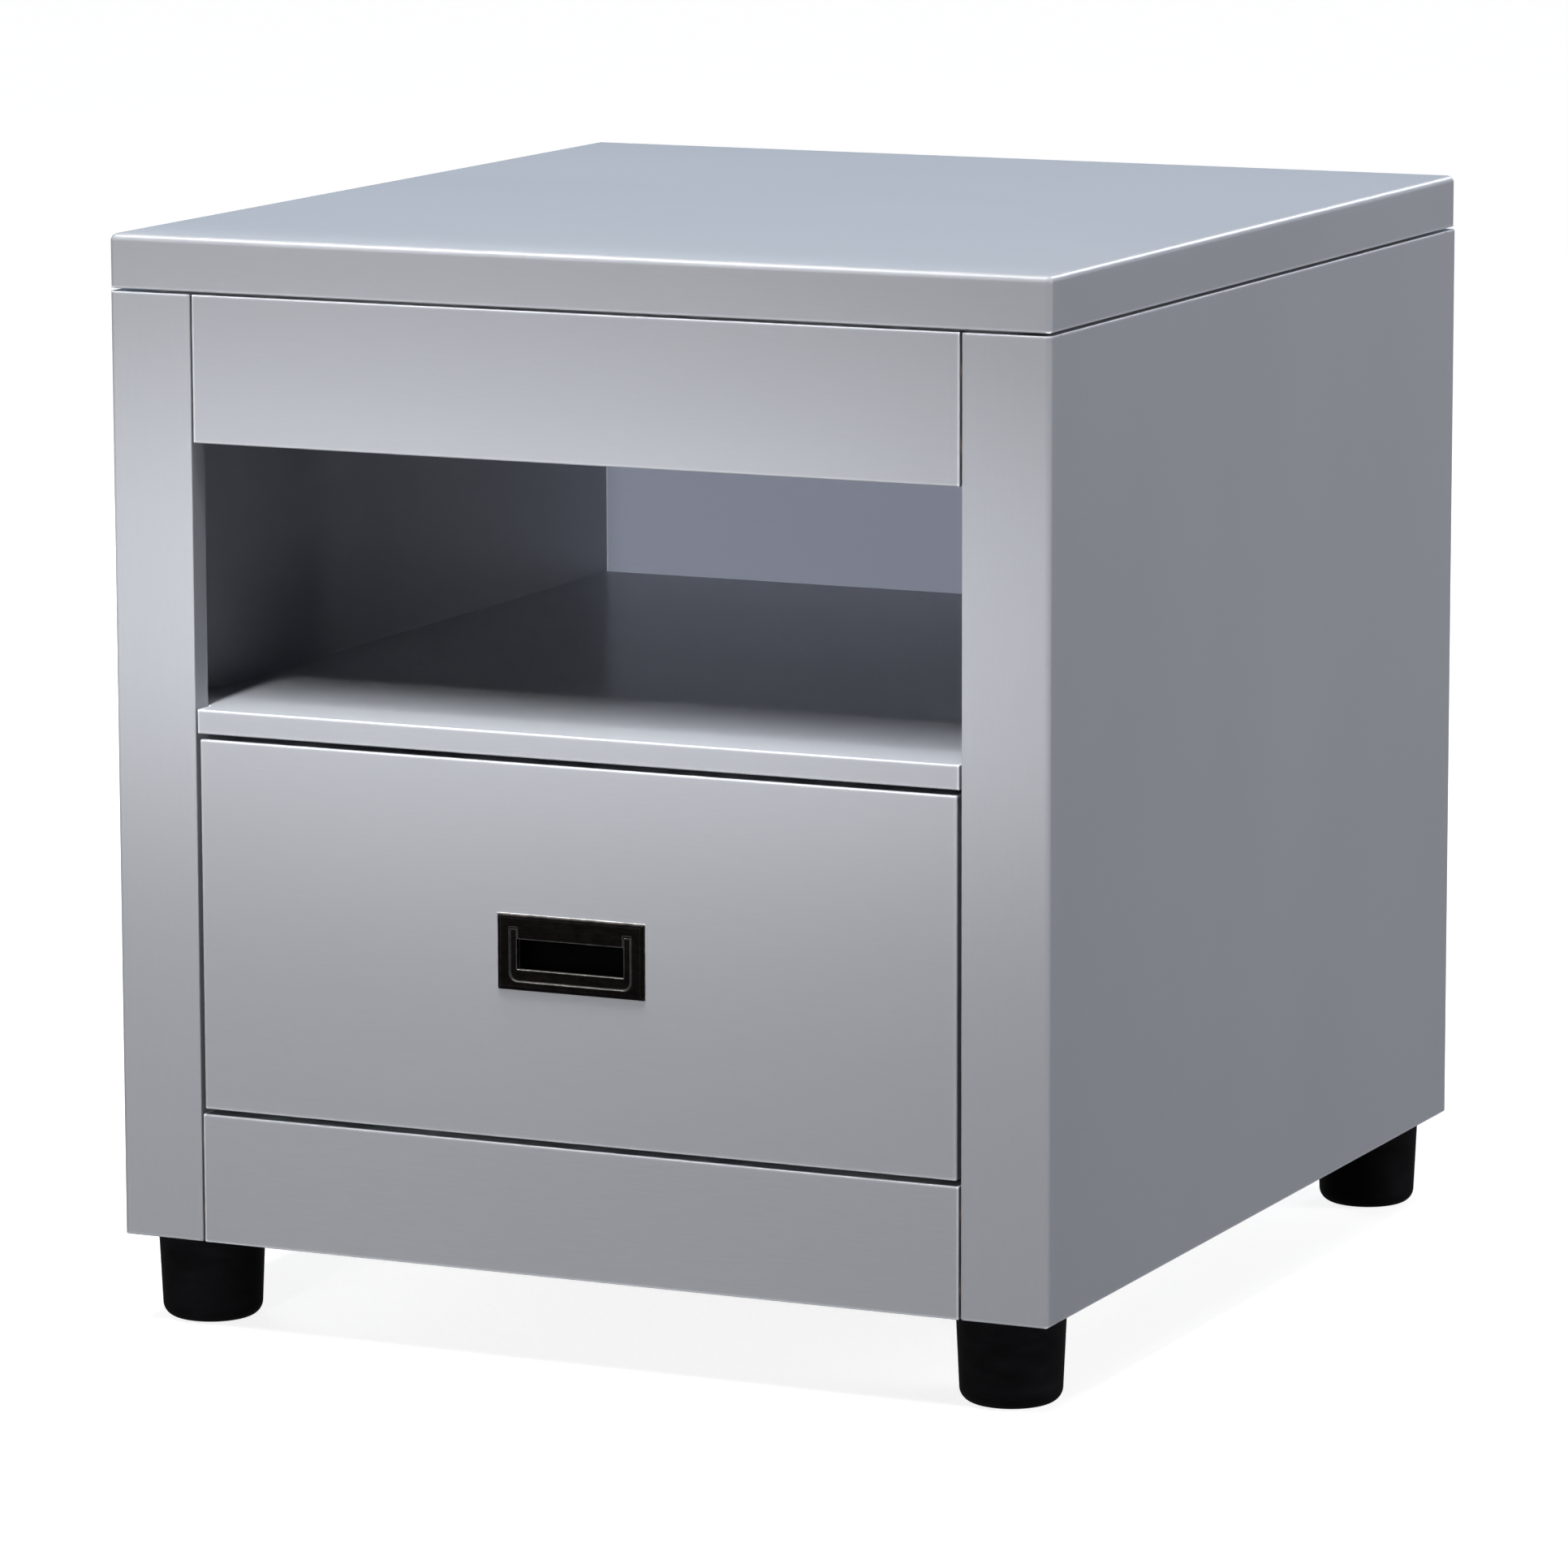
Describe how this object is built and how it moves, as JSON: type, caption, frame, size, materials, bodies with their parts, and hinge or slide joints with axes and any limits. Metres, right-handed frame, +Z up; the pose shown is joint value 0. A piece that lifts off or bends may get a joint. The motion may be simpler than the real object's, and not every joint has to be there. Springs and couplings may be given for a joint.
{
  "type": "side table with drawer",
  "caption": "Box-shaped lacquered side table with an open cubby over an inset drawer on ball-bearing slides, with a flush bail pull and round feet.",
  "frame": {"origin": "on the floor, at the centre of the case's footprint", "axes": "+X to the right as the front is faced, +Y from the front to the back, +Z up"},
  "size_m": [0.559, 0.612, 0.61],
  "materials": {
    "lacquered_panel": "satin grey-blue lacquer with a faint fine horizontal grain",
    "plywood": "clear-coated birch plywood",
    "beech": "raw beech",
    "slide_steel": "bright zinc-plated, rolled",
    "zinc_steel": "zinc-plated",
    "ball_steel": "polished bearing steel",
    "antique_metal": "dark antique plating, rubbed bright on its edges",
    "foot_black": "satin black, moulded"
  },
  "bodies": {
    "carcass": {"top_panel": "lacquered_panel", "sub_top": "lacquered_panel", "left_side_panel": "lacquered_panel", "right_side_panel": "lacquered_panel", "back_panel": "lacquered_panel", "rear_upper_rail": "lacquered_panel", "rear_lower_rail": "lacquered_panel", "left_stile": "lacquered_panel", "right_stile": "lacquered_panel", "upper_front_rail": "lacquered_panel", "lower_front_rail": "lacquered_panel", "shelf_panel": "lacquered_panel", "bottom_panel": "lacquered_panel", "left_packing_batten": "beech", "right_packing_batten": "beech", "front_left_foot": "foot_black", "front_right_foot": "foot_black", "rear_left_foot": "foot_black", "rear_right_foot": "foot_black", "foot_studs": "zinc_steel", "foot_inserts": "zinc_steel", "case_dowels": "beech", "top_screws": "zinc_steel", "back_screws": "zinc_steel", "batten_screws": "zinc_steel", "left_cabinet_member": "slide_steel", "right_cabinet_member": "slide_steel", "cabinet_member_screws": "zinc_steel"},
    "drawer": {"drawer_front": "lacquered_panel", "drawer_box_front": "plywood", "drawer_left_side": "plywood", "drawer_right_side": "plywood", "drawer_back": "plywood", "drawer_bottom": "plywood", "drawer_dowels": "beech", "drawer_front_screws": "zinc_steel", "left_drawer_member": "slide_steel", "right_drawer_member": "slide_steel", "drawer_member_screws": "zinc_steel", "pull_plate": "antique_metal", "pull_screws": "zinc_steel"},
    "bail": {"pull_bail": "antique_metal"},
    "left_slide_middle": {"left_intermediate_member": "slide_steel"},
    "left_outer_race": {"left_outer_retainer": "slide_steel", "left_outer_balls": "ball_steel"},
    "left_inner_race": {"left_inner_retainer": "slide_steel", "left_inner_balls": "ball_steel"},
    "right_slide_middle": {"right_intermediate_member": "slide_steel"},
    "right_outer_race": {"right_outer_retainer": "slide_steel", "right_outer_balls": "ball_steel"},
    "right_inner_race": {"right_inner_retainer": "slide_steel", "right_inner_balls": "ball_steel"}
  },
  "joints": [
    {"name": "drawer_slide", "type": "slide", "parent": "carcass", "child": "drawer", "axis": [0, -1, 0], "range_m": [0, 0.45]},
    {"name": "bail_hinge", "type": "hinge", "parent": "drawer", "child": "bail", "pos_m": [0, -0.3053, 0.24125], "axis": [-1, 0, 0], "range_deg": [0, 90]},
    {"name": "left_slide_middle_slide", "type": "slide", "parent": "carcass", "child": "left_slide_middle", "axis": [0, -1, 0], "range_m": [0, 0.225]},
    {"name": "left_outer_race_slide", "type": "slide", "parent": "carcass", "child": "left_outer_race", "axis": [0, -1, 0], "range_m": [0, 0.1125]},
    {"name": "left_inner_race_slide", "type": "slide", "parent": "carcass", "child": "left_inner_race", "axis": [0, -1, 0], "range_m": [0, 0.3375]},
    {"name": "right_slide_middle_slide", "type": "slide", "parent": "carcass", "child": "right_slide_middle", "axis": [0, -1, 0], "range_m": [0, 0.225]},
    {"name": "right_outer_race_slide", "type": "slide", "parent": "carcass", "child": "right_outer_race", "axis": [0, -1, 0], "range_m": [0, 0.1125]},
    {"name": "right_inner_race_slide", "type": "slide", "parent": "carcass", "child": "right_inner_race", "axis": [0, -1, 0], "range_m": [0, 0.3375]}
  ],
  "couplings": [
    {"joint": "left_slide_middle_slide", "follows": "drawer_slide", "ratio": 0.5},
    {"joint": "left_outer_race_slide", "follows": "drawer_slide", "ratio": 0.25},
    {"joint": "left_inner_race_slide", "follows": "drawer_slide", "ratio": 0.75},
    {"joint": "right_slide_middle_slide", "follows": "drawer_slide", "ratio": 0.5},
    {"joint": "right_outer_race_slide", "follows": "drawer_slide", "ratio": 0.25},
    {"joint": "right_inner_race_slide", "follows": "drawer_slide", "ratio": 0.75}
  ]
}
